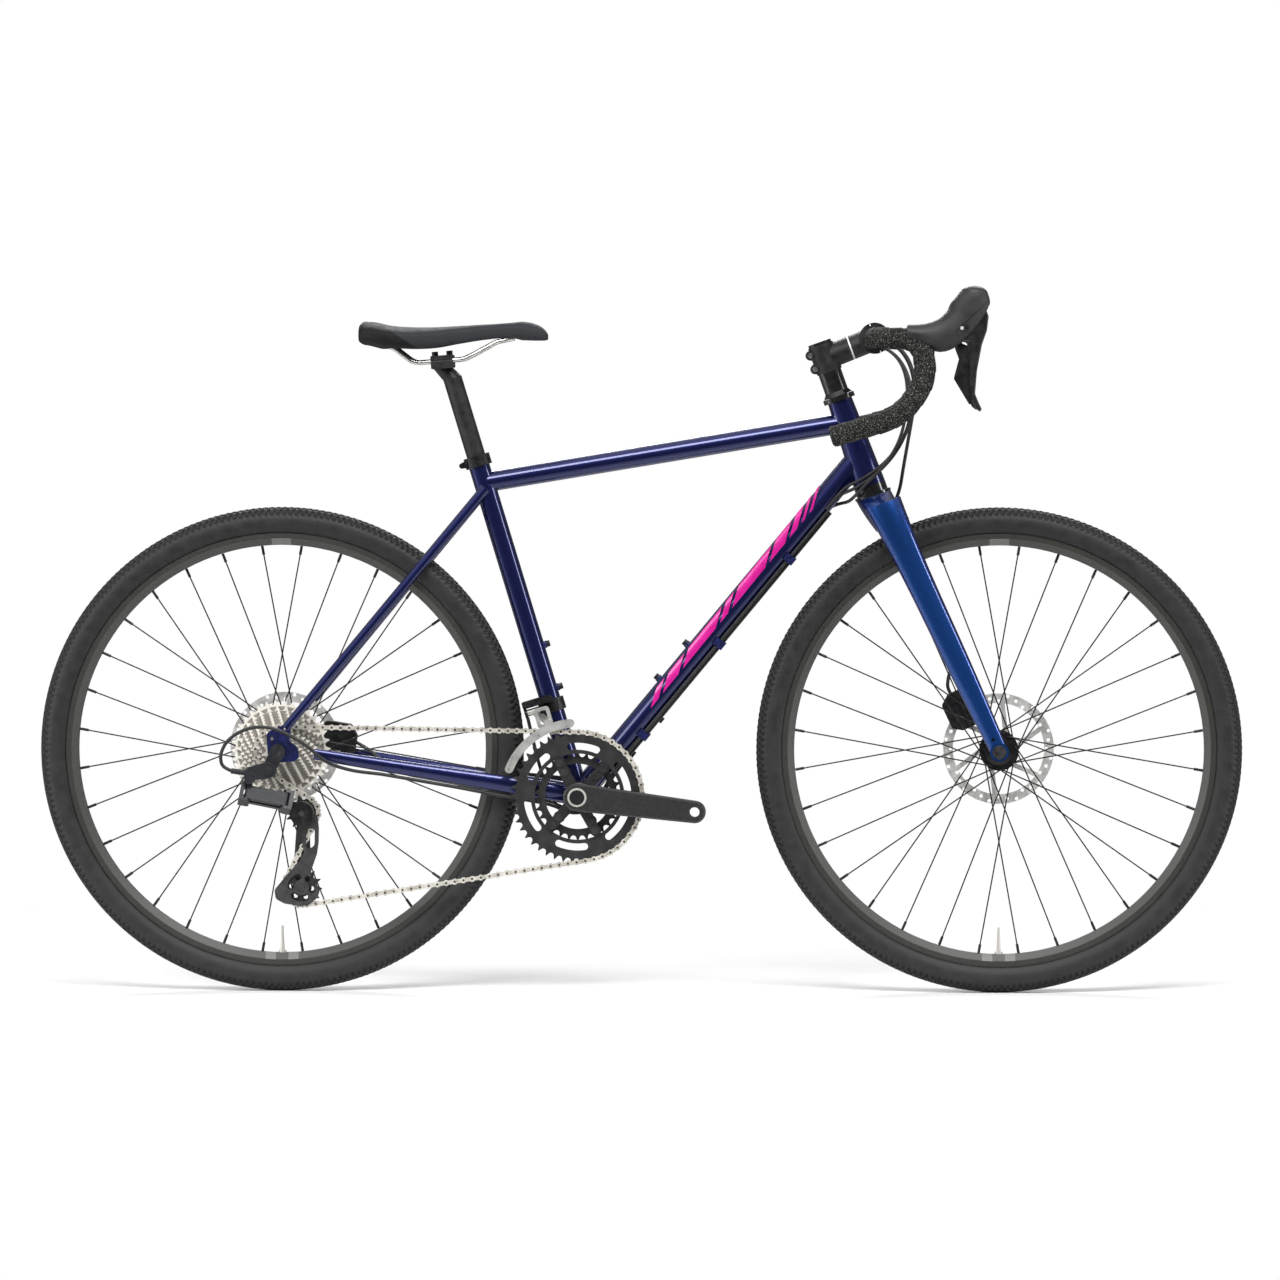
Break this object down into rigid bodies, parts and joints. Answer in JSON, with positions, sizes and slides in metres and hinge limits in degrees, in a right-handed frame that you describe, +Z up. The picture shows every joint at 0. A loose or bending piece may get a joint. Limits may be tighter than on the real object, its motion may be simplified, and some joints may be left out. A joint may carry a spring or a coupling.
{
  "type": "gravel bike",
  "caption": "Gravel bike with drop handlebar, disc brakes, spoked wheels with knobbly tyres and a chain drive; steering, wheels, cranks, levers and derailleurs move.",
  "frame": {"origin": "on the ground midway between the wheel axles, in the bike's centre plane", "axes": "+X forward, +Y to the rider's left, +Z up"},
  "size_m": [1.7348, 0.5036, 1.0155],
  "materials": {
    "frame_paint": "metallic",
    "fittings": "satin",
    "black_steel": "satin",
    "bearing_black": "anodised",
    "clamp_black": "anodised",
    "axle_alloy": "satin",
    "caliper_black": "satin",
    "cable_black": "satin",
    "derailleur_black": "satin",
    "derailleur_grey": "satin",
    "cage_black": "satin",
    "pulley_black": "matte",
    "fork_paint": "metallic",
    "stem_black": "anodised",
    "bar_black": "satin",
    "bar_tape": "matte",
    "hood_rubber": "matte",
    "lever_black": "satin",
    "tyre": "matte",
    "rim_black": "satin",
    "spoke_steel": "satin",
    "hub_black": "satin",
    "rotor_steel": "brushed",
    "chain_steel": "satin",
    "cassette_steel": "satin",
    "crank_alloy": "satin",
    "ring_alloy": "satin",
    "pad_compound": "matte",
    "saddle_cover": "matte",
    "rail_steel": "polished"
  },
  "bodies": {
    "frame": {"head_tube": "frame_paint", "top_tube": "frame_paint", "down_tube": "frame_paint", "seat_tube": "frame_paint", "bottom_bracket_shell": "frame_paint", "chainstays": "frame_paint", "seatstays": "frame_paint", "frame_fittings": "fittings", "frame_bolts": "black_steel", "bearing_cups": "bearing_black", "seat_clamp": "clamp_black", "rear_thru_axle": "axle_alloy", "rear_caliper": "caliper_black", "frame_cables": "cable_black", "front_derailleur_body": "derailleur_black", "rear_derailleur_mount": "derailleur_grey", "chain": "chain_steel"},
    "steering": {"fork": "fork_paint", "headset_spacers": "bearing_black", "stem": "stem_black", "steering_bolts": "black_steel", "handlebar": "bar_black", "bar_tape": "bar_tape", "brake_hoods": "hood_rubber", "front_caliper": "caliper_black", "front_brake_hose": "cable_black", "front_thru_axle": "axle_alloy", "control_cables": "cable_black"},
    "front_wheel": {"front_tyre": "tyre", "front_rim": "rim_black", "front_spokes": "spoke_steel", "front_hub": "hub_black", "front_rotor": "rotor_steel"},
    "rear_wheel": {"rear_tyre": "tyre", "rear_rim": "rim_black", "rear_spokes": "spoke_steel", "rear_hub": "hub_black", "rear_rotor": "rotor_steel"},
    "cassette": {"cassette": "cassette_steel"},
    "crank": {"crank_arm_right": "crank_alloy", "crank_arm_left": "crank_alloy", "chainrings": "ring_alloy"},
    "brake_lever_right": {"brake_lever_right": "lever_black"},
    "brake_lever_left": {"brake_lever_left": "lever_black"},
    "shift_paddle_right": {"shift_paddle_right": "lever_black"},
    "shift_paddle_left": {"shift_paddle_left": "lever_black"},
    "rd_outer_link": {"rd_outer_link": "derailleur_grey"},
    "rd_inner_link": {"rd_inner_link": "derailleur_black"},
    "rd_p_knuckle": {"rd_p_knuckle": "derailleur_black"},
    "rd_cage": {"rd_cage": "cage_black"},
    "guide_pulley": {"guide_pulley": "pulley_black"},
    "tension_pulley": {"tension_pulley": "pulley_black"},
    "fd_cage": {"fd_cage": "cage_black"},
    "seatpost": {"seatpost": "stem_black"},
    "saddle": {"saddle": "saddle_cover", "saddle_rails": "rail_steel"},
    "front_pad_inner": {"front_pad_inner": "pad_compound"},
    "front_pad_outer": {"front_pad_outer": "pad_compound"},
    "rear_pad_inner": {"rear_pad_inner": "pad_compound"},
    "rear_pad_outer": {"rear_pad_outer": "pad_compound"}
  },
  "joints": [
    {"name": "steering", "type": "hinge", "parent": "frame", "child": "steering", "pos_m": [0.31156, 0, 0.78628], "axis": [-0.3338, 0, 0.9426], "range_deg": [-60, 60], "deforming": ["control_cables"]},
    {"name": "front_wheel_spin", "type": "hinge", "parent": "steering", "child": "front_wheel", "pos_m": [0.5175, 0, 0.35], "axis": [0, 1, 0], "continuous": true},
    {"name": "rear_wheel_spin", "type": "hinge", "parent": "frame", "child": "rear_wheel", "pos_m": [-0.5175, 0, 0.35], "axis": [0, 1, 0], "continuous": true},
    {"name": "crank_spin", "type": "hinge", "parent": "frame", "child": "crank", "pos_m": [-0.08797, 0, 0.2845], "axis": [0, 1, 0], "continuous": true, "deforming": ["chain"]},
    {"name": "cassette_spin", "type": "hinge", "parent": "frame", "child": "cassette", "pos_m": [-0.5175, 0, 0.35], "axis": [0, 1, 0], "continuous": true},
    {"name": "brake_lever_right", "type": "hinge", "parent": "steering", "child": "brake_lever_right", "pos_m": [0.46834, -0.215, 0.95691], "axis": [0, 1, 0], "range_deg": [0, 16], "stiffness_Nm_per_rad": 0.6},
    {"name": "brake_lever_left", "type": "hinge", "parent": "steering", "child": "brake_lever_left", "pos_m": [0.46834, 0.215, 0.95691], "axis": [0, 1, 0], "range_deg": [0, 16], "stiffness_Nm_per_rad": 0.6},
    {"name": "shift_paddle_right", "type": "hinge", "parent": "brake_lever_right", "child": "shift_paddle_right", "pos_m": [0.45877, -0.215, 0.94701], "axis": [1, 0, 0], "range_deg": [0, 8], "stiffness_Nm_per_rad": 0.3},
    {"name": "shift_paddle_left", "type": "hinge", "parent": "brake_lever_left", "child": "shift_paddle_left", "pos_m": [0.45877, 0.215, 0.94701], "axis": [-1, 0, 0], "range_deg": [0, 8], "stiffness_Nm_per_rad": 0.3},
    {"name": "rd_shift", "type": "hinge", "parent": "frame", "child": "rd_outer_link", "pos_m": [-0.56, -0.091, 0.292], "axis": [0.1501, 0.4263, 0.892], "range_deg": [-12.5, 31], "stiffness_Nm_per_rad": 2},
    {"name": "rd_inner_shift", "type": "hinge", "parent": "frame", "child": "rd_inner_link", "pos_m": [-0.56209, -0.07838, 0.28632], "axis": [0.1501, 0.4263, 0.892], "range_deg": [-12.5, 31]},
    {"name": "rd_knuckle_level", "type": "hinge", "parent": "rd_outer_link", "child": "rd_p_knuckle", "pos_m": [-0.506, -0.087, 0.281], "axis": [0.1501, 0.4263, 0.892], "range_deg": [-31, 12.5]},
    {"name": "rd_cage_swing", "type": "hinge", "parent": "rd_p_knuckle", "child": "rd_cage", "pos_m": [-0.4835, -0.058, 0.261], "axis": [0, 1, 0], "range_deg": [-45, 20], "stiffness_Nm_per_rad": 2},
    {"name": "guide_pulley_spin", "type": "hinge", "parent": "rd_cage", "child": "guide_pulley", "pos_m": [-0.4835, -0.0509, 0.261], "axis": [0, 1, 0], "continuous": true},
    {"name": "tension_pulley_spin", "type": "hinge", "parent": "rd_cage", "child": "tension_pulley", "pos_m": [-0.48564, -0.0509, 0.15302], "axis": [0, 1, 0], "continuous": true},
    {"name": "fd_shift", "type": "hinge", "parent": "frame", "child": "fd_cage", "pos_m": [-0.15209, -0.03, 0.40611], "axis": [-0.9568, 0, -0.2907], "range_deg": [-5, 0], "stiffness_Nm_per_rad": 2},
    {"name": "seatpost_height", "type": "slide", "parent": "frame", "child": "seatpost", "axis": [-0.2907, 0, 0.9568], "range_m": [-0.06, 0.03]},
    {"name": "saddle_fore_aft", "type": "slide", "parent": "seatpost", "child": "saddle", "axis": [0.9971, 0, 0.0767], "range_m": [-0.008, 0.008]},
    {"name": "front_pad_inner_slide", "type": "slide", "parent": "steering", "child": "front_pad_inner", "axis": [0, 1, 0], "range_m": [0, 0.00035]},
    {"name": "front_pad_outer_slide", "type": "slide", "parent": "steering", "child": "front_pad_outer", "axis": [0, -1, 0], "range_m": [0, 0.00035]},
    {"name": "rear_pad_inner_slide", "type": "slide", "parent": "frame", "child": "rear_pad_inner", "axis": [0, 1, 0], "range_m": [0, 0.00035]},
    {"name": "rear_pad_outer_slide", "type": "slide", "parent": "frame", "child": "rear_pad_outer", "axis": [0, -1, 0], "range_m": [0, 0.00035]}
  ],
  "couplings": [
    {"joint": "cassette_spin", "follows": "crank_spin", "ratio": 2.7059},
    {"joint": "guide_pulley_spin", "follows": "crank_spin", "ratio": -4.1818},
    {"joint": "tension_pulley_spin", "follows": "crank_spin", "ratio": 3.5385},
    {"joint": "rd_inner_shift", "follows": "rd_shift", "ratio": 1},
    {"joint": "rd_knuckle_level", "follows": "rd_shift", "ratio": -1},
    {"joint": "front_pad_inner_slide", "follows": "brake_lever_left", "m_per_rad": 0.00125},
    {"joint": "front_pad_outer_slide", "follows": "brake_lever_left", "m_per_rad": 0.00125},
    {"joint": "rear_pad_inner_slide", "follows": "brake_lever_right", "m_per_rad": 0.00125},
    {"joint": "rear_pad_outer_slide", "follows": "brake_lever_right", "m_per_rad": 0.00125}
  ]
}
